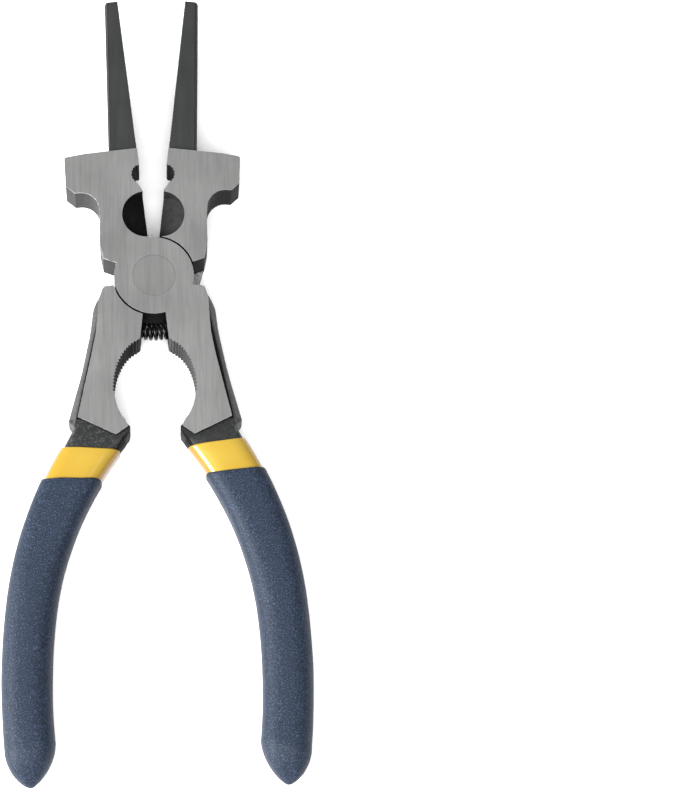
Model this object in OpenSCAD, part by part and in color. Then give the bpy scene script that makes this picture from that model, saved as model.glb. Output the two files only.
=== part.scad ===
// Multi-function welding pliers, 200 mm class.
// Two crossed steel levers on a flush lap-joint rivet, with long noses for clearing a
// nozzle, hammer faces, a small serrated tip hole, a side cutter, a large serrated nozzle
// hole between the legs, a return spring and twice-dipped handles.
//
// Frame: Z is the pivot axis, +Y points along the noses, +X to the right.
// The origin is on the pivot axis in the underside, the face that the tool lies on.
// Every lever shape is drawn for closed pliers and then turned by rest_open.

/* [Pose] */
// Angle of each lever from closed, as the pliers stand open on their spring
rest_open = 6.5; // [0:0.1:6.5]

/* [Head] */
// Thickness of the head, over both ground faces
head_t = 12; // [11:0.5:14]
// Radius of the lap-joint discs
disc_r = 10; // [9.8:0.1:10.2]
// Height of the jaw's ground face above the pivot
jaw_top = 34; // [33:0.5:35]
// Distance of the hammer face from the centre line
hammer_x = 18.9; // [18:0.1:20]
// Distance of the nose tips from the pivot
nose_tip_y = 75.3; // [70:0.1:80]
// Thickness of the noses at the tips
nose_tip_t = 5.6; // [4:0.2:7]
// Width of one nose at the tip
nose_tip_w = 3.5; // [2.6:0.1:4]
// Width of one nose at the root
nose_root_w = 7.4; // [6.4:0.1:7.8]
// Radius of the serrated tip hole
tip_hole_r = 2.4; // [2:0.1:2.8]
// Radius of the scooped side cutter
cutter_r = 6; // [5.4:0.1:6.2]
// Depth that the nose and the handle forging are set back below the ground faces
set_back = 1.3; // [1:0.1:1.6]

/* [Nozzle hole] */
// Half width of the serrated nozzle hole with the pliers closed
nozzle_rx = 6.9; // [6.6:0.1:7.4]
// Half height of the serrated nozzle hole
nozzle_ry = 11.1; // [10.8:0.1:11.5]
// Pitch of its teeth
nozzle_pitch = 0.87; // [0.7:0.01:1.2]
// Depth of its teeth
tooth_h = 0.42; // [0.2:0.02:0.6]

/* [Pivot] */
// Radius of the rivet's shank
shank_r = 4; // [3.5:0.1:4.5]
// Radius of the rivet's flush heads
rivet_head_r = 5.35; // [5:0.05:5.8]
// Running clearance of the rivet in the back lever
rivet_gap = 0.04; // [0.02:0.01:0.08]

/* [Return spring] */
// Wire diameter
wire_d = 0.8; // [0.7:0.05:0.8]
// Outside diameter of the coil
coil_od = 4.4; // [4:0.1:4.6]
// Number of turns
coil_turns = 10.5; // [8:0.5:10.5]
// Depth of the blind bores that hold its ends
spring_bore_depth = 3.2; // [2.5:0.1:3.5]
// Distance of the spring from the pivot
spring_y = 13.1; // [12.9:0.1:13.4]

/* [Handles] */
// Width of the handle over the outer dip, near its start
grip_w = 14.2; // [13:0.1:15]
// Width of the handle over the outer dip, at its waist
grip_waist_w = 12.7; // [11.6:0.1:13.4]
// Width of the handle over the outer dip, near its end
grip_end_w = 12.6; // [12:0.1:14]
// Bend radius of the upper half of the handle
bend_upper = 91; // [87:1:95]
// Bend radius of the lower half of the handle
bend_lower = 165; // [150:1:180]
// Distance of the right first dip's edge from the pivot
right_dip_y = 43.9; // [43.5:0.1:46]
// Distance of the left first dip's edge from the pivot
left_dip_y = 45.4; // [43.5:0.1:46]
// Length of the first dip that shows above the outer dip
band_len = 8.2; // [6:0.2:12]

/* [Hidden] */
$fn = 96;

ground = [0.66, 0.66, 0.65];
oxide = [0.18, 0.19, 0.19];
dip_yellow = [0.93, 0.76, 0.2];
dip_blue = [0.2, 0.25, 0.36];

mid = head_t / 2;
jaw_gap = 0.12;       // half gap between the closed jaws
leg_gap = 1.7;        // half gap between the legs, just below the discs
lap_gap = 0.03;       // half gap between the two lap faces
disc_gap = 0.4;       // gap between a disc and the other lever's shoulders
arc_step = 9;         // largest step of a rounded corner, in degrees
over = 1;             // how far a cutting shape runs past what it cuts

nozzle_y = -28;       // centre of the nozzle hole
tip_hole_y = 27;      // centre of the tip hole
cutter_y = 16.3;      // centre of the side cutter
neck_end = 45.4;      // distance from the pivot where the neck has become the tang
nose_tooth_h = 0.15;  // depth of the fine teeth inside the noses
stop_t = 1;           // thickness of the opening stop

// Handle centre line: two arcs that meet where the handle is furthest out.
bend_x = 21.1;
bend_y = -87;
handle_start = 31.5;  // angle of the upper arc at the neck, inside the leg
steel_end = -11.4;    // angle of the lower arc at the end of the steel
tip_start = -11.8;    // angle of the lower arc where the outer dip draws in

// ---- plane geometry ----

function unit(v) = v / norm(v);
function mix(a, b, t) = a + (b - a) * t;

// Points of the arc of radius r that rounds corner b between a and c.
function corner(a, b, c, r) =
    let (u = unit(a - b), w = unit(c - b),
         half = acos(u * w) / 2,
         centre = b + unit(u + w) * r / sin(half),
         start = b + u * r / tan(half) - centre,
         stop = b + w * r / tan(half) - centre,
         from = atan2(start.y, start.x),
         sweep = (atan2(stop.y, stop.x) - from + 540) % 360 - 180,
         n = max(2, ceil(abs(sweep) / arc_step)))
    [for (i = [0 : n]) centre + r * [cos(from + sweep * i / n), sin(from + sweep * i / n)]];

// Outline from [x, y, r] points, each corner rounded to its own radius r.
function rounded(p) =
    let (n = len(p), xy = [for (q = p) [q.x, q.y]])
    [for (i = [0 : n - 1])
        each (p[i].z > 0 ? corner(xy[(i + n - 1) % n], xy[i], xy[(i + 1) % n], p[i].z) : [xy[i]])];

// Ellipse of half axes a and b through point angle t.
function on_ellipse(a, b, t) = [a * cos(t), b * sin(t)];
function ellipse_step(a, b, t, arc) = arc / norm([a * sin(t), b * cos(t)]) * 180 / PI;

// A toothed stretch of an ellipse, one tooth each pitch along it, from angle t0 to t1.
function toothed(a, b, t0, t1, pitch, h) =
    [for (t = t0; t < t1; t = t + ellipse_step(a, b, t, pitch))
        each [on_ellipse(a, b, t),
              on_ellipse(a + h, b + h, t + ellipse_step(a, b, t, pitch / 2))]];

// ---- levers, drawn closed, with the jaw at -X and the handle at +X ----

// heel is how much lower and further out the hammer head reaches.
module jaw_outline(heel) {
    polygon(rounded([
        [-jaw_gap, 5, 0],
        [-jaw_gap, jaw_top, 0],
        [-13.6, jaw_top, 12],
        [-hammer_x - heel / 2 + 0.5, jaw_top - 0.4, 0.5],
        [-hammer_x - heel / 2, 26.5 - heel, 0.3],
        [-17.1, 24.4 - heel, 0.4],
        [-11.5, 24.3 - heel, 4.6],
        [-11.5, 18, 3],
        [-12.5, 10, 6],
        [-12.1, 5.9, 0.3],
        [-9, 4.4, 0],
        [-5, 0, 0]]));
}

module nose_outline() {
    tooth_y = [jaw_top + 2 : 0.9 : nose_tip_y - 1.5];
    lean = 0.1;     // the noses meet at the tips first
    polygon(concat(
        [[-jaw_gap - lean, jaw_top - 2]],
        [for (y = tooth_y)
            each [[-jaw_gap - lean * (nose_tip_y - y) / (nose_tip_y - jaw_top), y],
                  [-jaw_gap - lean - nose_tooth_h, y + 0.45]]],
        [[-jaw_gap, nose_tip_y - 0.5]],
        rounded([
            [-jaw_gap, nose_tip_y, 0.25],
            [-nose_tip_w, nose_tip_y, 1],
            [-nose_root_w + 0.3, jaw_top + 3, 6],
            [-nose_root_w - 0.1, jaw_top - 2, 0]])));
}

// Side view of the nose: thick at the root and thin at the tip, on both faces alike.
module nose_side() {
    tip = (head_t - nose_tip_t) / 2;
    polygon([[jaw_top - 2, 0.7], [nose_tip_y - 0.6, tip], [nose_tip_y + over, tip + 0.8],
             [nose_tip_y + over, head_t - tip - 0.8], [nose_tip_y - 0.6, head_t - tip],
             [jaw_top - 2, head_t - 0.7]]);
}

module nose() {
    lean = atan((nose_root_w - nose_tip_w) / (nose_tip_y - jaw_top));
    fall = atan((head_t - 1.4 - nose_tip_t) / 2 / (nose_tip_y - jaw_top));
    chamfer = 0.7;
    difference() {
        intersection() {
            linear_extrude(head_t) nose_outline();
            translate([-20, 0, 0]) rotate([90, 0, 90]) linear_extrude(20) nose_side();
        }
        for (face = [0, 1])
            translate([0, 0, face * head_t]) mirror([0, 0, face])
                translate([-nose_root_w, jaw_top, 0.7]) rotate([fall, 0, -lean])
                    rotate([0, 45, 0])
                        translate([-10, -5, -10]) cube([20, 60, 10 + chamfer * sin(45)]);
    }
}

module tip_hole_outline() {
    n = 34;
    translate([jaw_gap, tip_hole_y])
        polygon([for (i = [0 : n - 1])
            (tip_hole_r + (i % 2) * 0.24) * [cos(i * 360 / n), sin(i * 360 / n)]]);
    polygon([[over, tip_hole_y - 1], [-1.45, tip_hole_y - 1.8], [-jaw_gap, 22.7], [over, 22.4]]);
}

// One scooped face of the side cutter: a round pocket whose floor slopes to the cutting edge.
module cutter_scoop() {
    slope = 38;
    land = 0.25;    // half width of the flat at the cutting edge
    difference() {
        translate([0, cutter_y, mid + land]) cylinder(r = cutter_r, h = mid + over);
        translate([0, cutter_y, mid + land]) rotate([0, slope, 0])
            translate([-20, -10, -20]) cube([40, 20, 20]);
    }
}

// The ground face of the leg. It's wider by more where the grinding went deeper.
module leg_outline(more) {
    polygon(rounded([
        [leg_gap, -6, 0],
        [9, -3.4, 0],
        [12.3, -4.2, 1.2],
        [12.8 + more / 2, -7.5, 6],
        [12.3 + more, -16, 30],
        [12.9 + more, -23, 30],
        [14.8 + more / 3, -38.5, 0.3],
        [5, -42, 0.5],
        [2.2, -39.4, 0.3],
        [4.8, -35.4, 0],
        [leg_gap, -25, 0]]));
}

// The handle forging shows as a dark ledge outside the ground face of the leg.
module ledge_outline() {
    polygon(rounded([
        [6, -10, 0],
        [12, -4.4, 1],
        [14.3, -9, 7],
        [14.3, -16, 30],
        [15.3, -27, 60],
        [17.3, -39.4, 1],
        [15.4, -41.2, 0],
        [15.6, -42.4, 0],
        [3.5, -42.4, 0],
        [1.8, -40.4, 0],
        [1.8, -39.2, 0],
        [6, -36, 0]]));
}

module nozzle_outline() {
    translate([0, nozzle_y]) {
        scale_n = 40;
        polygon([for (i = [0 : scale_n - 1]) on_ellipse(nozzle_rx, nozzle_ry, i * 360 / scale_n)]);
        polygon(concat([[-over, 0]],
            toothed(nozzle_rx, nozzle_ry, -16, 80, nozzle_pitch, tooth_h),
            [[-over, nozzle_ry]]));
        polygon([[-over, 10], [3, 10], [1.6, nozzle_ry + 0.4], [-over, nozzle_ry + 0.4]]);
    }
}

// Blends the leg into the rounded tang at the first dip's edge.
module neck() {
    slab = 0.05;
    hull() {
        translate([0, 0, set_back]) linear_extrude(head_t - 2 * set_back)
            polygon([[1.8, -39.2], [1.8, -40.4], [3.5, -42.4], [15.6, -42.4], [15.4, -41.2], [12, -39]]);
        intersection() {
            tang();
            translate([0, -neck_end - slab, 0]) cube([30, 2 * slab, head_t]);
        }
    }
}

// Bevels the ledge's outer edge on one face.
module ledge_bevel() {
    translate([14.9, -13, head_t - set_back]) rotate([0, 0, 5.5]) rotate([0, 50, 0])
        translate([-10, -29, -1.3]) cube([20, 37, 8]);
}

module forging() {
    difference() {
        translate([0, 0, set_back]) linear_extrude(head_t - 2 * set_back) ledge_outline();
        ledge_bevel();
        translate([0, 0, head_t]) mirror([0, 0, 1]) ledge_bevel();
    }
}

// The two forgings aren't quite alike: heel and more say how, in millimetres.
module lever(heel, more) {
    difference() {
        union() {
            difference() {
                union() {
                    linear_extrude(head_t) jaw_outline(heel);
                    nose();
                    linear_extrude(head_t) leg_outline(more);
                    forging();
                    neck();
                    tang();
                }
                // Room for the other lever's disc, in the lower half.
                translate([0, 0, -over])
                    cylinder(r = disc_r + disc_gap, h = mid + lap_gap + over);
                // Jaw and leg stop short of the disc in the upper half; the disc follows.
                translate([0, 0, mid - over]) cylinder(r = disc_r - 1, h = mid + 2 * over);
            }
            translate([0, 0, mid + lap_gap]) cylinder(r = disc_r, h = mid - lap_gap);
        }
        translate([0, 0, -over]) linear_extrude(head_t + 2 * over) tip_hole_outline();
        translate([0, 0, -over]) linear_extrude(head_t + 2 * over) nozzle_outline();
        cutter_scoop();
        translate([0, 0, head_t]) mirror([0, 0, 1]) cutter_scoop();
        translate([0, -spring_y, mid]) rotate([0, 90, 0])
            cylinder(d = coil_od + 0.7, h = leg_gap + spring_bore_depth);
    }
}

// ---- handles: rounded sections swept along the two arcs of the centre line ----

function bend_radius(a) = a > 0 ? bend_upper : bend_lower;
function along(a) = [bend_x, bend_y] + bend_radius(a) * [cos(a) - 1, sin(a)];

// Half width at angle a of a handle with widths w at its start, its waist and its end.
function handle_half(a, w) =
    (a > 0 ? mix(w[1], w[0], a / handle_start) : mix(w[1], w[2], a / steel_end)) / 2;

// One section: a rounded rectangle of half width w and half thickness h across angle a.
sides = 20;
function square_n(a) = a > 18 ? 3.6 : mix(2.5, 3.6, max(0, a + 2) / 20);   // how square it is
function super(v, n) = sign(v) * pow(abs(v), 2 / n);
function section(a, w, h, shift) =
    [for (i = [0 : sides - 1])
        let (t = i * 360 / sides,
             n = square_n(a),
             out = w * super(cos(t), n) + shift,
             p = along(a) + out * [cos(a), sin(a)])
        [p.x, p.y, mid + h * super(sin(t), n)]];

// Widths of a layer that is thinner than the outer dip by these amounts.
function dip_widths(start, waist, end) = [grip_w - start, grip_waist_w - waist, grip_end_w - end];

module loft(rings) {
    n = len(rings);
    polyhedron(
        points = [for (r = rings) each r],
        faces = concat(
            [[for (i = [0 : sides - 1]) i]],
            [for (k = [0 : n - 2], i = [0 : sides - 1])
                let (j = (i + 1) % sides, a = k * sides, b = a + sides)
                each [[a + i, b + i, b + j], [a + i, b + j, a + j]]],
            [[for (i = [sides - 1 : -1 : 0]) (n - 1) * sides + i]]),
        convexity = 4);
}

// Sweep from angle a0 down to a1. The end closes over tip_len in a blunt point that
// hangs tip_shift further out, as the last drop of a dip does.
module handle_sweep(a0, a1, w, h, tip_len, tip_shift) {
    steps = ceil((a0 - a1) / 3);
    tip_steps = tip_len > 0 ? 8 : 0;
    tip_angle = tip_len / bend_lower * 180 / PI;
    loft(concat(
        [for (k = [0 : steps])
            let (a = mix(a0, a1, k / steps))
            section(a, handle_half(a, w), h, 0)],
        [for (k = [1 : 1 : tip_steps])
            let (t = k / tip_steps * 0.985, a = a1 - tip_angle * t, s = pow(1 - pow(t, 1.9), 0.72))
            section(a, handle_half(a1, w) * s, h * s, tip_shift * t)]));
}

// Cuts the front off a handle along the line that the dip reached, y = -edge.
module below(edge) {
    intersection() {
        children();
        translate([-10, -edge - 200, -over]) cube([60, 200, head_t + 2 * over]);
    }
}

module tang() {
    handle_sweep(handle_start, steel_end, dip_widths(1.8, 2.6, 3.6), mid - 1.4, 0, 0);
}

module first_dip_body() {
    handle_sweep(handle_start, steel_end - 0.2, dip_widths(0.8, 1.2, 1.6), mid - 0.7, 4, 0.6);
}

// Both dips of one handle start from edge, the distance of the first dip from the pivot.
// The outer dip's last drop hangs further out by drop.
module first_dip(edge) {
    difference() {
        below(edge) first_dip_body();
        tang();
        neck();
    }
}

module grip(edge, drop) {
    difference() {
        below(edge + band_len)
            handle_sweep(handle_start, tip_start, dip_widths(0, 0, 0), mid, 10.1, drop);
        first_dip_body();
    }
}

// ---- placing ----

module front_side() {
    rotate([0, 0, rest_open]) children();
}

module back_side() {
    rotate([0, 0, -rest_open]) translate([0, 0, head_t]) rotate([0, 180, 0]) children();
}

// Thin web at the underside, below the back lever's shoulder. The front lever's leg
// comes to rest on it when the pliers are fully open.
module opening_stop() {
    rotate([0, 0, -rest_open]) linear_extrude(stop_t)
        polygon(rounded([
            [8, 3, 0],
            [11, 6, 0],
            [12, 6, 0],
            [11.3, 2, 5],
            [12.1, -1.25, 0],
            [9.4, -1.15, 0],
            [8.5, 0, 0]]));
}

module rivet_solid(gap) {
    head = 1.4;
    cylinder(r = shank_r + gap, h = head_t);
    for (face = [0, 1])
        translate([0, 0, face * head_t]) mirror([0, 0, face])
            cylinder(r1 = rivet_head_r + gap, r2 = shank_r + gap, h = head);
}

// The same shape run past both faces, to cut the levers with.
module rivet_hole(gap) {
    rivet_solid(gap);
    for (face = [-over, head_t])
        translate([0, 0, face]) cylinder(r = rivet_head_r + gap, h = over);
}

module front_lever() {
    color(ground)
        difference() {
            front_side() lever(0.6, 0);
            rivet_hole(0);
        }
}

module back_lever() {
    color(ground)
        difference() {
            union() {
                back_side() lever(0, 0.5);
                opening_stop();
            }
            rivet_hole(rivet_gap);
        }
}

module pivot_rivet() {
    color(ground) rivet_solid(0);
}

// Centre line of the spring: square to both levers' bores, on a circle about the pivot.
function spring_point(s) =
    let (bend = spring_y * rest_open * PI / 180,
         a = max(-rest_open, min(rest_open, s / spring_y * 180 / PI)),
         rest = s - max(-bend, min(bend, s)))
    spring_y * [sin(a), -cos(a)] + rest * [cos(a), sin(a)];
function spring_turn(s) = max(-rest_open, min(rest_open, s / spring_y * 180 / PI));

module return_spring() {
    wire_sides = 8;
    per_turn = 12;
    rings = ceil(coil_turns * per_turn);
    half_len = spring_y * rest_open * PI / 180 + leg_gap + spring_bore_depth - wire_d / 2 - 0.06;
    coil_r = (coil_od - wire_d) / 2;
    points = [for (k = [0 : rings], i = [0 : wire_sides - 1])
        let (s = half_len * (2 * k / rings - 1),
             a = spring_turn(s),
             turn = k * 360 / per_turn,
             w = i * 360 / wire_sides,
             r = coil_r + wire_d / 2 * cos(w),
             c = spring_point(s),
             side = r * cos(turn),
             push = wire_d / 2 * sin(w))
        [c.x - side * sin(a) + push * cos(a), c.y + side * cos(a) + push * sin(a),
         mid + r * sin(turn)]];
    color(oxide)
        polyhedron(points = points,
            faces = concat(
                [[for (i = [wire_sides - 1 : -1 : 0]) i]],
                [for (k = [0 : rings - 1], i = [0 : wire_sides - 1])
                    let (j = (i + 1) % wire_sides, a = k * wire_sides, b = a + wire_sides)
                    each [[a + i, b + j, b + i], [a + i, a + j, b + j]]],
                [[for (i = [0 : wire_sides - 1]) rings * wire_sides + i]]),
            convexity = 10);
}

module right_first_dip() {
    color(dip_yellow) front_side() first_dip(right_dip_y);
}

module left_first_dip() {
    color(dip_yellow) back_side() first_dip(left_dip_y);
}

module right_grip() {
    color(dip_blue) front_side() grip(right_dip_y, 1.5);
}

module left_grip() {
    color(dip_blue) back_side() grip(left_dip_y, 0.9);
}

front_lever();
back_lever();
pivot_rivet();
return_spring();
right_first_dip();
left_first_dip();
right_grip();
left_grip();
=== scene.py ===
# Looks for the welding pliers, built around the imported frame. All sizes are in metres.
import math

import bmesh
import bpy
from mathutils import Matrix, Vector


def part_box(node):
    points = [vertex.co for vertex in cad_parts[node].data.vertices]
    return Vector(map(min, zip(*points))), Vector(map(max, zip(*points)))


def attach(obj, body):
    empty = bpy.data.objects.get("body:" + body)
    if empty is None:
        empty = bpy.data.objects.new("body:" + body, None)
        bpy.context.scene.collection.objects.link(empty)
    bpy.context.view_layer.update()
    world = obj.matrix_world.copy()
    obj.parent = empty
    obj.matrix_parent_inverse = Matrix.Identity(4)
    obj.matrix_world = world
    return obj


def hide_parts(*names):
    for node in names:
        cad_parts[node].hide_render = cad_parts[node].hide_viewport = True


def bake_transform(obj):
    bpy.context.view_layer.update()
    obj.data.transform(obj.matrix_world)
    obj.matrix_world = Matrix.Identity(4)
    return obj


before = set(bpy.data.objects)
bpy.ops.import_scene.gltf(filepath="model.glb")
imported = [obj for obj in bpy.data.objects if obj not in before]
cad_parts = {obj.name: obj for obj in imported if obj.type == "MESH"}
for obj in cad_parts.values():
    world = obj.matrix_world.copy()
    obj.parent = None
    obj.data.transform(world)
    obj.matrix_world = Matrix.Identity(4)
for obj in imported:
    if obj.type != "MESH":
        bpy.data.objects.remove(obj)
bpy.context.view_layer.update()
MM = 0.001

# ---- sizes that the frame doesn't hold, in the closed frame of one lever ----

OPEN = math.radians(6.5)                    # each lever's turn from closed
HEAD_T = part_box("pivot_rivet")[1].z         # head thickness
RIVET_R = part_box("pivot_rivet")[1].x        # radius of the rivet's heads
MID = HEAD_T / 2
BEND = Vector((21.1, -87.0)) * MM           # where the two arcs of the handle meet
R_UPPER, R_LOWER = 91 * MM, 165 * MM
GRIP_W = (14.2, 12.7, 12.6)                  # at the start, the waist and the end, in mm
A_START, A_STEEL, A_TIP = 31.5, -11.4, -11.8    # angles along those arcs, in degrees
SQUARE_TOP, SQUARE_END = 3.6, 2.5           # how square the handle's section is
TIP_P, TIP_Q = 1.9, 0.72                    # how the dips draw in to their hanging drops
NOZZLE_Y, NOZZLE_RX, NOZZLE_RY = -28 * MM, 6.9 * MM, 11.1 * MM
TIP_HOLE_Y, TIP_HOLE_R = 27 * MM, 2.4 * MM
CUTTER_Y, CUTTER_R = 16.3 * MM, 6 * MM
JAW_TOP = 34 * MM                           # the noses stand on the head from here
NOSE_END = 74.6 * MM                        # end of the noses' teeth
DISC_R = 10.6 * MM                          # just past the lapped discs
HAMMER_X = -8 * MM                          # the hammer head and shoulder are left of this
LEGS_Y = -4 * MM                            # the legs are below this
LEDGE_X, NECK_X = 11 * MM, 4.4 * MM         # inner sides of the ledge and the neck
NECK_Y = -38.8 * MM                         # where the ledge becomes the neck

# ---- depths below the nearer face of the head ----

GROUND_DEPTH = 0.05 * MM                    # flats above this are ground
EDGE_DEPTH = 0.2 * MM                       # broken edges above this are bare steel
NOSE_DEPTH = 0.3 * MM                       # the noses are below this
WEB_DEPTH = 1.1 * MM                        # the lap joint's web is above this
NECK_DEPTH, LEDGE_DEPTH = 1.2 * MM, 1.35 * MM

# ---- bevels and mesh tolerances ----

RIM_WIDTH, BRIGHT_WIDTH, EDGE_WIDTH = 0.35 * MM, 0.17 * MM, 0.08 * MM
SHARP_EDGE = math.radians(38)               # edges that turn less than this aren't broken
WELD = 0.002 * MM


def turn(p, angle):
    c, s = math.cos(angle), math.sin(angle)
    return Vector((p.x * c - p.y * s, p.x * s + p.y * c, p.z))


def to_front(p):
    """From the closed frame of a lever to the front lever at rest."""
    return turn(p, OPEN)


def to_back(p):
    """From the closed frame of a lever to the back lever at rest: turned over about Y."""
    return turn(Vector((-p.x, p.y, HEAD_T - p.z)), -OPEN)


def from_front(p):
    return turn(p, -OPEN)


def from_back(p):
    q = turn(p, OPEN)
    return Vector((-q.x, q.y, HEAD_T - q.z))


def mix(a, b, t):
    return a + (b - a) * t


def depth(p):
    """How far p lies below the nearer face of the head."""
    return min(p.z, HEAD_T - p.z)


def round_angles(count):
    return [2 * math.pi * i / count for i in range(count)]


# ---- material helpers ----

def grey(value):
    return (value, value, value)


class Shader:
    """One material's node tree, with a short method for each kind of node."""

    def __init__(self, name):
        self.material = bpy.data.materials.new(name)
        self.material.use_nodes = True
        self.tree = self.material.node_tree
        self.bsdf = self.tree.nodes["Principled BSDF"]
        self.coords = self.node("ShaderNodeTexCoord").outputs["Object"]

    def node(self, kind, **settings):
        made = self.tree.nodes.new(kind)
        for key, value in settings.items():
            setattr(made, key, value)
        return made

    def link(self, a, b):
        self.tree.links.new(a, b)

    def set(self, **values):
        for key, value in values.items():
            self.bsdf.inputs[key.replace("_", " ")].default_value = value

    def mapped(self, scale, angle=0.0):
        made = self.node("ShaderNodeMapping")
        made.inputs["Scale"].default_value = scale
        made.inputs["Rotation"].default_value = (0, 0, angle)
        self.link(self.coords, made.inputs["Vector"])
        return made.outputs["Vector"]

    def noise(self, scale, detail, rough, stretch=(1, 1, 1), angle=0.0):
        made = self.node("ShaderNodeTexNoise")
        made.inputs["Scale"].default_value = scale
        made.inputs["Detail"].default_value = detail
        made.inputs["Roughness"].default_value = rough
        self.link(self.mapped(stretch, angle), made.inputs["Vector"])
        return made.outputs["Fac"]

    def flatness(self):
        """1 on the flats that face up or down and 0 on the sides."""
        parts = self.node("ShaderNodeSeparateXYZ")
        self.link(self.node("ShaderNodeTexCoord").outputs["Normal"], parts.inputs[0])
        made = self.node("ShaderNodeMath", operation="ABSOLUTE")
        self.link(parts.outputs["Z"], made.inputs[0])
        return made.outputs[0]

    def ramp(self, value, stops):
        """stops: (position, colour)."""
        made = self.node("ShaderNodeValToRGB")
        ramp = made.color_ramp
        while len(ramp.elements) < len(stops):
            ramp.elements.new(0.5)
        for element, (place, color) in zip(ramp.elements, stops):
            element.position = place
            element.color = (*color, 1)
        self.link(value, made.inputs["Fac"])
        return made.outputs["Color"]

    def remap(self, value, low, high, from_low=0.0, from_high=1.0):
        """Maps from_low...from_high onto low...high."""
        made = self.node("ShaderNodeMapRange")
        made.inputs["From Min"].default_value = from_low
        made.inputs["From Max"].default_value = from_high
        made.inputs["To Min"].default_value = low
        made.inputs["To Max"].default_value = high
        self.link(value, made.inputs["Value"])
        return made.outputs["Result"]

    def multiply(self, first, *others):
        """The product of colours."""
        product = first
        for other in others:
            made = self.node("ShaderNodeMix", data_type="RGBA", blend_type="MULTIPLY")
            made.inputs[0].default_value = 1.0
            self.link(product, made.inputs[6])
            self.link(other, made.inputs[7])
            product = made.outputs[2]
        return product

    def bump(self, *layers):
        """layers: (height socket, distance in metres, strength)."""
        normal = None
        for height, distance, strength in layers:
            made = self.node("ShaderNodeBump")
            made.inputs["Distance"].default_value = distance
            made.inputs["Strength"].default_value = strength
            self.link(height, made.inputs["Height"])
            if normal is not None:
                self.link(normal, made.inputs["Normal"])
            normal = made.outputs["Normal"]
        self.link(normal, self.bsdf.inputs["Normal"])

    def color(self, socket):
        self.link(socket, self.bsdf.inputs["Base Color"])

    def rough(self, socket):
        self.link(socket, self.bsdf.inputs["Roughness"])


def ground_steel(name, tone):
    """Belt-ground faces: fine streaks along the tool over a soft cloudy tone."""
    s = Shader(name)
    fine = s.noise(3200, 4, 0.65, (1, 0.035, 1))
    broad = s.noise(700, 3, 0.6, (1, 0.05, 1), 0.03)
    cloud = s.noise(70, 3, 0.5)
    streak = s.ramp(fine, [(0.3, grey(0.81 * tone)),
                           (0.7, (1.16 * tone, 1.16 * tone, 1.14 * tone))])
    wide = s.ramp(broad, [(0.3, grey(0.91)), (0.7, grey(1.0))])
    soft = s.ramp(cloud, [(0.3, grey(0.8)), (0.65, grey(1.02))])
    s.color(s.multiply(streak, wide, soft))
    s.set(Metallic=0.6)
    s.rough(s.remap(fine, 0.7, 0.84, 0.3, 0.7))
    s.bump((broad, 0.00002, 0.3), (fine, 0.00001, 0.3))
    return s.material


def worn_edge(name, tone):
    """Bare steel on the broken edges and the web, nicked here and there. The web is given a much
    lighter tone, which is painted light.
    """
    s = Shader(name)
    nick = s.noise(900, 4, 0.6)
    s.color(s.ramp(nick, [(0.35, grey(0.5 * tone)),
                          (0.6, (1.2 * tone, 1.2 * tone, 1.19 * tone))]))
    s.set(Metallic=0.75)
    s.rough(s.remap(nick, 0.32, 0.5, 0.3, 0.7))
    return s.material


def black_oxide(name, tone, shine):
    """Blackened machined walls: dark, with faint cutter marks and a cloudy wear."""
    s = Shader(name)
    marks = s.noise(1500, 3, 0.6, (1, 1, 0.05))
    cloud = s.noise(160, 4, 0.6)
    line = s.ramp(marks, [(0.3, (0.7 * tone, 0.71 * tone, 0.72 * tone)),
                          (0.75, (1.4 * tone, 1.4 * tone, 1.41 * tone))])
    wear = s.ramp(cloud, [(0.35, grey(0.75)), (0.75, grey(1.25))])
    s.color(s.multiply(line, wear))
    s.set(Specular_IOR_Level=shine)
    s.rough(s.remap(cloud, 0.45, 0.62))
    s.bump((marks, 0.00003, 0.3))
    return s.material


def oxide_nose():
    """Noses: ground before blackening, so they show soft lengthwise streaks."""
    s = Shader("oxide_nose")
    streak = s.noise(900, 3, 0.6, (1, 0.04, 1))
    cloud = s.noise(120, 3, 0.5)
    tone = s.ramp(streak, [(0.3, (0.0125, 0.0133, 0.0137)), (0.7, (0.0175, 0.0187, 0.019))])
    wear = s.ramp(cloud, [(0.3, grey(0.88)), (0.7, grey(1.08))])
    s.color(s.multiply(tone, wear))
    s.set(Specular_IOR_Level=0.24)
    s.rough(s.remap(cloud, 0.5, 0.62))
    s.bump((streak, 0.00003, 0.3))
    return s.material


def forged_skin(name, fleck, relief):
    """Rough blackened forging skin on the ledges and necks, with lighter flecks."""
    s = Shader(name)
    grit = s.noise(2200, 5, 0.75)
    pits = s.noise(420, 4, 0.65)
    s.color(s.ramp(grit, [(0.40, (0.002, 0.0022, 0.0025)), (0.55, (0.008, 0.0085, 0.009)),
                          (0.68, (fleck, 1.05 * fleck, 1.05 * fleck))]))
    s.set(Specular_IOR_Level=0.25)
    s.rough(s.remap(pits, 0.4, 0.62))
    s.bump((pits, 0.0003, 0.45 * relief), (grit, 0.00012, 0.6 * relief))
    return s.material


def oiled_spring():
    """Dark oiled wire."""
    s = Shader("oiled_spring")
    haze = s.noise(800, 3, 0.6)
    s.color(s.ramp(haze, [(0.3, (0.003, 0.003, 0.0035)), (0.7, (0.007, 0.0075, 0.008))]))
    s.set(Specular_IOR_Level=0.5)
    s.rough(s.remap(haze, 0.14, 0.26))
    return s.material


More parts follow.
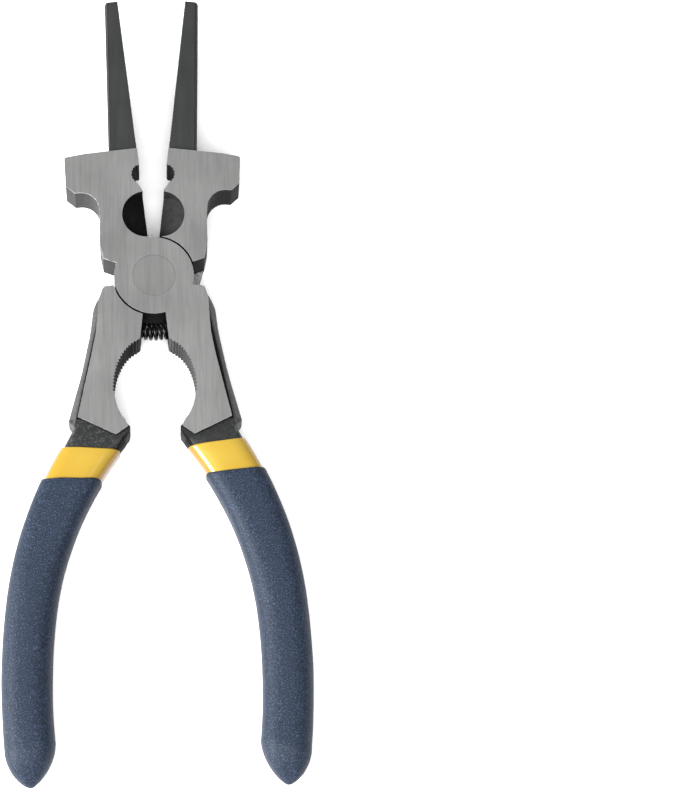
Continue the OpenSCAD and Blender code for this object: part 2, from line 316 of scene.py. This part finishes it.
def yellow_dip():
    """Glossy inner dip, with painted shade on its sides: they are darker and more orange than its
    flats.
    """
    s = Shader("yellow_dip")
    drift = s.noise(60, 3, 0.5)
    haze = s.noise(500, 2, 0.5)
    tone = s.ramp(drift, [(0.3, (0.275, 0.171, 0.0175)), (0.7, (0.305, 0.208, 0.028))])
    # Painted shade: faces that turn to the sides are darkened and made more orange.
    painted_side_shade = s.ramp(s.flatness(), [(0.3, (0.66, 0.52, 0.65)), (0.85, grey(1.0))])
    s.color(s.multiply(tone, painted_side_shade))
    s.set(Specular_IOR_Level=0.36)
    s.rough(s.remap(haze, 0.13, 0.22))
    s.bump((drift, 0.0004, 0.12), (haze, 0.00005, 0.15))
    return s.material


def navy_dip():
    """Matte outer dip: dusty navy with a fine grainy skin."""
    s = Shader("navy_dip")
    grain = s.noise(3000, 3, 0.7)
    mottle = s.noise(600, 4, 0.65)
    drift = s.noise(45, 2, 0.5)
    tone = s.ramp(grain, [(0.36, (0.0028, 0.006, 0.0125)), (0.54, (0.0088, 0.0160, 0.0320)),
                          (0.68, (0.041, 0.058, 0.096))])
    wide = s.ramp(mottle, [(0.3, (0.82, 0.82, 0.83)), (0.7, (1.14, 1.14, 1.13))])
    slow = s.ramp(drift, [(0.3, grey(0.93)), (0.7, grey(1.05))])
    s.color(s.multiply(tone, wide, slow))
    s.set(Specular_IOR_Level=0.2)
    s.rough(s.remap(mottle, 0.5, 0.66))
    s.bump((mottle, 0.00012, 0.4), (grain, 0.00008, 0.6))
    return s.material


# The finishes of a lever's faces, in the order of their materials.
(GROUND, EDGE, BRIGHT, OXIDE, NOSE, FORGED, KEY_LIT_OXIDE,
 TEETH, KEY_LIT_TEETH, RIM, CUT, WEB, SMOOTH) = range(13)
lever_materials = [
    ground_steel("ground_steel", 0.157),
    worn_edge("broken_edge", 0.19),
    worn_edge("bright_edge", 0.24),
    black_oxide("black_oxide", 0.0064, 0.03),
    oxide_nose(),
    forged_skin("forged_skin", 0.065, 1.0),
    # A lighter copy of the oxide for the hammer walls that face the key: painted light.
    black_oxide("key_lit_oxide", 0.015, 0.10),
    black_oxide("toothed_oxide", 0.005, 0.04),
    # A lighter copy of the toothed oxide for the nozzle teeth that face the key: painted light.
    black_oxide("key_lit_toothed_oxide", 0.024, 0.28),
    # The slanted rims of the forging are painted lighter than its skin: a painted highlight.
    black_oxide("forging_rim_painted_highlight", 0.040, 0.28),
    # A lighter copy of the oxide for the cutter hollow that faces the key: painted light.
    black_oxide("cutter_oxide_painted_light", 0.014, 0.15),
    # The web's rubbed bare steel, painted far lighter than the ground steel to stand in for the
    # light on it.
    worn_edge("rubbed_web_painted_light", 0.38),
    forged_skin("smooth_skin", 0.022, 0.5),
]
rivet_material = ground_steel("ground_rivet", 0.146)
spring_material = oiled_spring()
yellow_material = yellow_dip()
navy_material = navy_dip()


# ---- pieces ----

def new_object(name, mesh, materials):
    for material in materials:
        mesh.materials.append(material)
    piece = bpy.data.objects.new(name, mesh)
    bpy.context.scene.collection.objects.link(piece)
    return piece


def smooth_object(bm, name, materials, sharp_above):
    """Makes an object of bm, shaded smooth but for edges that turn more than sharp_above."""
    mesh = bpy.data.meshes.new(name)
    bm.to_mesh(mesh)
    bm.free()
    if "custom_normal" in mesh.attributes:
        mesh.attributes.remove(mesh.attributes["custom_normal"])
    for polygon in mesh.polygons:
        polygon.use_smooth = True
    mesh.set_sharp_from_angle(angle=math.radians(sharp_above))
    return new_object(name, mesh, materials)


def skin(bm, rings):
    """Quads between each ring of vertices and the next. All rings have as many vertices."""
    around = len(rings[0])
    for low, high in zip(rings, rings[1:]):
        for i in range(around):
            j = (i + 1) % around
            bm.faces.new((low[i], low[j], high[j], high[i]))


def weigh_normals(piece):
    """Keeps the large flat faces flat up to their small rounded edges."""
    weights = piece.modifiers.new("weights", "WEIGHTED_NORMAL")
    weights.mode = "FACE_AREA"
    weights.weight = 90
    weights.keep_sharp = True


def in_teeth(p):
    """True in the three toothed stretches, whose short edges stay sharp. p is closed."""
    nozzle_end, nozzle_roots = -31.5 * MM, 1.11     # the roots in radii of the nozzle hole
    tip_depth, nose_depth = 0.45 * MM, 0.9 * MM
    dx, dy = p.x / NOZZLE_RX, (p.y - NOZZLE_Y) / NOZZLE_RY
    nozzle = p.x > 0 and p.y > nozzle_end and math.hypot(dx, dy) < nozzle_roots
    tip = (p.x ** 2 + (p.y - TIP_HOLE_Y) ** 2) ** 0.5 < TIP_HOLE_R + tip_depth
    nose = p.x > -nose_depth and JAW_TOP < p.y < NOSE_END
    return nozzle or tip or nose


def in_cutter(p):
    """True on the round wall behind the cutter's edge."""
    return math.hypot(p.x, p.y - CUTTER_Y) < CUTTER_R + 0.03 * MM


def lever_face(center, normal, worn_and_key_lit):
    """Which finish a face of a lever has. center and normal are in the closed frame.

    On the worn and key-lit lever, the walls of the hammer head, the shoulder and the
    nozzle teeth face the key and get lighter copies of the oxide, which are painted light, and the
    neck is smoother."""
    level = depth(center)
    flat = abs(normal.z) > 0.98
    slanted = 0.3 < abs(normal.z) < 0.9
    if center.y > JAW_TOP and level > NOSE_DEPTH:
        return NOSE
    # The hammer walls that face the key get the lighter oxide, which is painted light.
    if worn_and_key_lit and not flat and center.x < HAMMER_X and center.y > 0:
        return KEY_LIT_OXIDE
    if flat and level < GROUND_DEPTH:
        return GROUND
    if flat and abs(center.z - MID) < 0.1 * MM and center.xy.length < DISC_R:
        return GROUND
    # The web's rubbed bare steel is painted lighter: partly its own colour, partly painted light.
    if flat and level < WEB_DEPTH and center.y > LEGS_Y:
        return WEB
    # On the worn and key-lit lever, the nozzle teeth face the key and get the lighter toothed
    # oxide, which is painted light.
    if in_teeth(center):
        return KEY_LIT_TEETH if worn_and_key_lit and center.y < 0 else TEETH
    # The other lever's cutter hollow faces the key and gets the lighter oxide, which is painted
    # light.
    if not worn_and_key_lit and in_cutter(center):
        return CUT
    if center.x > NECK_X and center.y < NECK_Y and level > NECK_DEPTH:
        return SMOOTH if worn_and_key_lit else FORGED
    # Slanted faces of the ledge get the lighter rim oxide, a painted highlight.
    if center.x > LEDGE_X and center.y < LEGS_Y and level > LEDGE_DEPTH:
        return RIM if slanted else FORGED
    return OXIDE


def on_forging(p):
    """The outer edges of the handle forging, rounded by the dies."""
    return p.x > 13 * MM and p.y < -5 * MM and depth(p) > 1 * MM


def on_hammer(p):
    """The knocked-about lower edges of the worn lever's hammer head and shoulder."""
    return p.x < HAMMER_X and 3 * MM < p.y < 28 * MM


def anywhere(_):
    return True


def break_edges(bm, closed, finish, width, chosen, done):
    """Bevels the sharp outer edges whose middles are chosen and whose faces aren't done.

    Returns {new face: finish}."""
    sharp = []
    for edge in bm.edges:
        if len(edge.link_faces) != 2 or not edge.is_convex:
            continue
        if edge.calc_face_angle() < SHARP_EDGE or any(face in done for face in edge.link_faces):
            continue
        middle = closed((edge.verts[0].co + edge.verts[1].co) / 2)
        at_rivet = abs(middle.xy.length - RIVET_R) < 0.3 * MM
        if in_teeth(middle) or in_cutter(middle) or at_rivet or not chosen(middle):
            continue
        sharp.append(edge)
    made = bmesh.ops.bevel(bm, geom=sharp, offset=width, offset_type="OFFSET", segments=2,
                           profile=0.6, affect="EDGES", clamp_overlap=False)
    return {face: finish for face in made["faces"]}


def in_a_cut(edge, cuts):
    """True if the edge lies in one of the cuts, each a point and the direction across it."""
    return any(all(abs((vert.co - point).dot(across)) < WELD for vert in edge.verts)
               for point, across in cuts)


def merge_flats(bm, placed):
    """Joins the triangles of each flat face, but keeps three cuts.

    Two go through the pivot, so that no flat face runs all round the rivet's bore, and one
    crosses the forging where the ledge becomes the neck."""
    bmesh.ops.remove_doubles(bm, verts=bm.verts, dist=WELD)
    neck_top = placed(Vector((0, NECK_Y, 0)))
    along_leg = (neck_top - placed(Vector())).normalized()
    cuts = [(Vector(), Vector((1, 0, 0))), (Vector(), Vector((0, 1, 0))), (neck_top, along_leg)]
    for point, across in cuts:
        bmesh.ops.bisect_plane(bm, geom=[*bm.verts, *bm.edges, *bm.faces], dist=WELD / 2,
                               plane_co=point, plane_no=across)
    joins = [edge for edge in bm.edges if not in_a_cut(edge, cuts)]
    bmesh.ops.dissolve_limit(bm, angle_limit=math.radians(0.5), verts=bm.verts, edges=joins)


def lever(node, body, placed, closed, worn_and_key_lit):
    """A copy of a CAD lever with its edges broken and each face in its own finish."""
    bm = bmesh.new()
    bm.from_mesh(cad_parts[node].data)
    merge_flats(bm, placed)
    # The forging's rounded rims get the lighter rim oxide, a painted highlight.
    broken = break_edges(bm, closed, RIM, RIM_WIDTH, on_forging, {})
    if worn_and_key_lit:
        broken.update(break_edges(bm, closed, BRIGHT, BRIGHT_WIDTH, on_hammer, broken))
    broken.update(break_edges(bm, closed, EDGE, EDGE_WIDTH, anywhere, broken))
    bm.normal_update()
    for face in bm.faces:
        normal = closed(face.normal) - closed(Vector())
        center = closed(face.calc_center_median())
        if face not in broken:
            face.material_index = lever_face(center, normal, worn_and_key_lit)
        elif depth(center) < EDGE_DEPTH or broken[face] == RIM:
            face.material_index = broken[face]
        else:
            face.material_index = OXIDE
    bmesh.ops.dissolve_degenerate(bm, dist=WELD / 4, edges=bm.edges)
    piece = smooth_object(bm, "steel_" + node, lever_materials, 32)
    weigh_normals(piece)
    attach(piece, body)
    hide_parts(node)


def rivet():
    """The flush rivet, with a hairline chamfer that shows as a faint ring."""
    shank, cone, rim, play = 4 * MM, 1.4 * MM, 0.07 * MM, 0.02 * MM
    profile = [(RIVET_R - rim, 0), (RIVET_R - play, rim), (shank, cone)]
    profile += [(radius, HEAD_T - z) for radius, z in reversed(profile)]
    bm = bmesh.new()
    rings = [[bm.verts.new((radius * math.cos(w), radius * math.sin(w), z))
              for w in round_angles(128)] for radius, z in profile]
    skin(bm, rings)
    bm.faces.new(rings[0][::-1])
    bm.faces.new(rings[-1])
    piece = smooth_object(bm, "flush_rivet", [rivet_material], 20)
    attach(piece, "front_half")
    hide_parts("pivot_rivet")


def spring():
    """A round-wire coil on the bent centre line that the two bores set."""
    turns, wire, coil = 10.5, 0.4 * MM, 1.8 * MM    # with the radii of the wire and the coil
    arm = 13.1 * MM                                 # from the pivot to the bent stretch
    per_turn, round_wire = 36, 14
    bend = arm * OPEN
    bore_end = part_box("return_spring")[1].x
    half_length = bend + (bore_end - arm * math.sin(OPEN)) / math.cos(OPEN) - wire
    steps = int(turns * per_turn)
    bm = bmesh.new()
    rings = []
    for k in range(steps + 1):
        s = half_length * (2 * k / steps - 1)
        a = max(-OPEN, min(OPEN, s / arm))
        straight = s - max(-bend, min(bend, s))
        along = Vector((math.cos(a), math.sin(a), 0))
        across = Vector((-math.sin(a), math.cos(a), 0))
        center = arm * Vector((math.sin(a), -math.cos(a), 0)) + straight * along
        center.z = MID
        phi = 2 * math.pi * k / per_turn
        out = math.cos(phi) * across + math.sin(phi) * Vector((0, 0, 1))
        rings.append([
            bm.verts.new(center + out * (coil + wire * math.cos(w)) + along * wire * math.sin(w))
            for w in round_angles(round_wire)
        ])
    skin(bm, rings)
    bm.faces.new(rings[0][::-1])
    bm.faces.new(rings[-1])
    bmesh.ops.recalc_face_normals(bm, faces=bm.faces)
    piece = smooth_object(bm, "coil_spring", [spring_material], 40)
    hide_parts("return_spring")
    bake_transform(piece)


def handle_radius(a):
    """The radius of the handle's centre line at angle a, in degrees."""
    return R_UPPER if a > 0 else R_LOWER


def handle_run(a):
    """The length along the centre line from the bend to angle a."""
    return -math.radians(a) * handle_radius(a)


def handle_angle(run):
    return -math.degrees(run / (R_UPPER if run < 0 else R_LOWER))


def handle_place(run, across, up):
    """A point beside the handle's centre line, in the closed frame."""
    a = math.radians(handle_angle(run))
    r = handle_radius(math.degrees(a))
    return Vector((BEND.x + r * (math.cos(a) - 1) + across * math.cos(a),
                   BEND.y + r * math.sin(a) + across * math.sin(a), MID + up))


def squareness(a):
    """The power of the section's superellipse, which grows over 20 degrees from -2."""
    return mix(SQUARE_END, SQUARE_TOP, min(1, max(0, (a + 2) / 20)))


def super_round(v, a):
    """Turns a sine or cosine into the superellipse's at angle a."""
    return math.copysign(abs(v) ** (2 / squareness(a)), v)


class Dip:
    """One vinyl layer: a rounded sleeve along the handle that closes in a hanging drop."""

    DROP_END = 0.985          # the drop stops just short of its point
    HEM = 0.02 * MM           # the inner wall starts this far past the edge

    def __init__(self, thinner, half_t, tip_from, tip_length, shift, edge, wave, skin):
        self.half_widths = [(w - less) / 2 * MM for w, less in zip(GRIP_W, thinner)]
        self.half_t = half_t
        self.tip_run = handle_run(tip_from)
        self.tip_length = tip_length
        self.shift = shift        # sideways offset of the drop's end
        self.edge = edge          # y of the dip's edge, as a function of the angle round it
        self.wave = wave          # slow unevenness of the skin
        self.skin = skin          # thickness of the layer

    def half_width(self, a):
        start, waist, end = self.half_widths
        return mix(waist, start, a / A_START) if a > 0 else mix(waist, end, a / A_STEEL)

    def point(self, run, phi, inset=0.0):
        """A point of the skin, inset under it, at a run along the handle and an angle round it."""
        w, h, shift = self.half_width(handle_angle(min(run, self.tip_run))), self.half_t, 0.0
        if run > self.tip_run:
            t = min(self.DROP_END, (run - self.tip_run) / self.tip_length)
            s = (1 - t ** TIP_P) ** TIP_Q
            w, h, shift = w * s, h * s, self.shift * t
        swell = self.wave * math.sin(run * 190 + 2 * math.sin(phi)) * math.sin(phi * 2 + run * 60)
        w, h = max(w - inset - abs(swell), 0.02 * MM), max(h - inset, 0.02 * MM)
        a = handle_angle(run)
        return handle_place(run, w * super_round(math.cos(phi), a) + shift,
                            h * super_round(math.sin(phi), a))

    def start_run(self, phi):
        """Where the dip's edge crosses the line at phi, by halving."""
        low, high = handle_run(A_START) - 4 * MM, handle_run(0)
        target = self.edge(phi)
        for _ in range(30):
            middle = (low + high) / 2
            if self.point(middle, phi).y > target:
                low = middle
            else:
                high = middle
        return low

    def outer_rings(self, starts, phis):
        """The rolled lip, the sleeve, whose rings even out below the edge, and the drop."""
        sleeve, evening, drop, even_length = 70, 12, 22, 14 * MM
        lip = [(self.skin, 0.0), (self.skin * 0.55, 0.03 * MM), (self.skin * 0.22, 0.14 * MM),
               (self.skin * 0.05, 0.3 * MM), (0.0, 0.5 * MM)]       # inset, distance from the edge
        lip_length = lip[-1][1]
        first = sum(starts) / len(starts) + even_length
        even = mix(first, self.tip_run, evening / sleeve)
        rings = [[self.point(start + back, phi, inset) for start, phi in zip(starts, phis)]
                 for inset, back in lip]
        for k in range(1, evening + 1):
            rings.append([self.point(mix(start + lip_length, even, k / evening), phi)
                          for start, phi in zip(starts, phis)])
        for k in range(evening + 1, sleeve + 1):
            run = mix(first, self.tip_run, k / sleeve)
            rings.append([self.point(run, phi) for phi in phis])
        for k in range(1, drop + 1):
            t = math.sin(math.pi / 2 * k / drop) * self.DROP_END
            rings.append([self.point(self.tip_run + self.tip_length * t, phi) for phi in phis])
        return rings

    def inner_rings(self, starts, phis):
        """The wall inside the layer, which ends in the first third of the drop."""
        steps = 20
        end = self.tip_run + self.tip_length * 0.3
        return [[self.point(mix(start + self.HEM, end, k / steps), phi, self.skin)
                 for start, phi in zip(starts, phis)] for k in range(1, steps + 1)]


def dip_piece(name, node, body, place, dip, material):
    phis = round_angles(56)
    starts = [dip.start_run(phi) for phi in phis]
    bm = bmesh.new()
    outer, inner = ([[bm.verts.new(place(p)) for p in ring] for ring in rings]
                    for rings in (dip.outer_rings(starts, phis), dip.inner_rings(starts, phis)))
    skin(bm, outer)
    bm.faces.new(outer[-1])
    skin(bm, [outer[0], *inner])
    bm.faces.new(inner[-1])
    bmesh.ops.recalc_face_normals(bm, faces=bm.faces)
    piece = smooth_object(bm, name, [material], 60)
    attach(piece, body)
    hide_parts(node)


def uneven_edge(y, lean, wave, phase):
    """A dip's edge: y as a function of the angle round the handle."""
    return lambda phi: y + lean * math.cos(phi) + wave * math.sin(2 * phi + phase) \
        + wave * 0.5 * math.sin(3 * phi + 2 * phase)


def dips():
    """The yellow first dip and the navy outer dip of both handles."""
    # Each dip's edge is given by its y and its lean. Then come the outer drop's offset and the
    # phase of the edges' unevenness.
    sides = [("right", "front_half", to_front, (-44.1, 0.45), (-51.95, 0.1), 1.5, 2.1),
             ("left", "back_half", to_back, (-45.6, -0.2), (-53.9, -0.45), 0.9, 0.6)]
    for side, body, place, (first_y, first_lean), (outer_y, outer_lean), drop, phase in sides:
        first = Dip(thinner=(0.8, 1.2, 1.6), half_t=5.3 * MM, tip_from=A_STEEL - 0.2,
                    tip_length=4 * MM, shift=0.6 * MM, wave=0.0, skin=0.55 * MM,
                    edge=uneven_edge(first_y * MM, first_lean * MM, 0.12 * MM, phase))
        outer = Dip(thinner=(0, 0, 0), half_t=6.0 * MM, tip_from=A_TIP,
                    tip_length=10.1 * MM, shift=drop * MM, wave=0.06 * MM, skin=0.5 * MM,
                    edge=uneven_edge(outer_y * MM, outer_lean * MM, 0.25 * MM, phase))
        dip_piece(side + "_yellow_dip", side + "_first_dip", body, place, first,
                  yellow_material)
        dip_piece(side + "_navy_dip", side + "_grip", body, place, outer,
                  navy_material)


lever("front_lever", "front_half", to_front, from_front, True)
lever("back_lever", "back_half", to_back, from_back, False)
rivet()
spring()
dips()


# ---- studio ----

def floor():
    """A wide pale sheet just under the tool."""
    s = Shader("pale_floor")
    s.set(Base_Color=(0.96, 0.96, 0.96, 1), Roughness=0.9, Specular_IOR_Level=0.1)
    s.set(Emission_Color=(1, 1, 1, 1), Emission_Strength=0.07)
    half, gap = 3.0, 0.0002
    mesh = bpy.data.meshes.new("floor")
    mesh.from_pydata([(-half, -half, 0), (half, -half, 0), (half, half, 0), (-half, half, 0)], [],
                     [(0, 1, 2, 3)])
    piece = new_object("floor", mesh, [s.material])
    piece.location.z = -gap


def area_light(name, place, aim, size, power):
    light = bpy.data.lights.new(name, "AREA")
    light.shape = "RECTANGLE"
    light.size, light.size_y = size
    light.energy = power
    piece = bpy.data.objects.new(name, light)
    piece.location = place
    piece.rotation_mode = "QUATERNION"
    piece.rotation_quaternion = (Vector(aim) - Vector(place)).to_track_quat("-Z", "Y")
    bpy.context.scene.collection.objects.link(piece)


def studio():
    """An even white surround, a soft key from the left and a broad light from above."""
    world = bpy.data.worlds.new("studio")
    world.use_nodes = True
    background = world.node_tree.nodes["Background"]
    background.inputs["Color"].default_value = (1, 1, 1, 1)
    background.inputs["Strength"].default_value = 0.57
    bpy.context.scene.world = world
    middle = (0, -0.03, 0)
    area_light("key", (-0.95, -0.3, 0.52), middle, (0.6, 0.6), 39)
    area_light("front", (0.0, -0.55, 1.15), middle, (1.2, 1.0), 25)
    bpy.context.scene.view_settings.view_transform = "Standard"
    bpy.context.scene.view_settings.look = "None"


def camera():
    """Looks down on the tool from the handles' side, past the pivot and to the right of it."""
    distance, lean, roll = 0.9, math.radians(17.3), math.radians(0.45)
    to_right, down = math.radians(2.961), math.radians(1.909)
    back = Vector((0, -math.sin(lean), math.cos(lean)))
    right, up = Vector((1, 0, 0)), Vector((0, math.cos(lean), math.sin(lean)))
    up = up * math.cos(roll) + right * math.sin(roll)
    right = up.cross(back)
    aim = (-back + right * math.tan(to_right) - up * math.tan(down)).normalized()
    side = aim.cross(up).normalized()
    data = bpy.data.cameras.new("camera")
    data.sensor_width = 36
    data.lens = 163.6
    data.clip_start, data.clip_end = 0.01, 20
    view = bpy.data.objects.new("camera", data)
    bpy.context.scene.collection.objects.link(view)
    view.location = Vector((0, 0, HEAD_T)) + back * distance
    view.rotation_mode = "QUATERNION"
    view.rotation_quaternion = Matrix((side, side.cross(aim), -aim)).transposed().to_quaternion()
    bpy.context.scene.camera = view


floor()
studio()
camera()
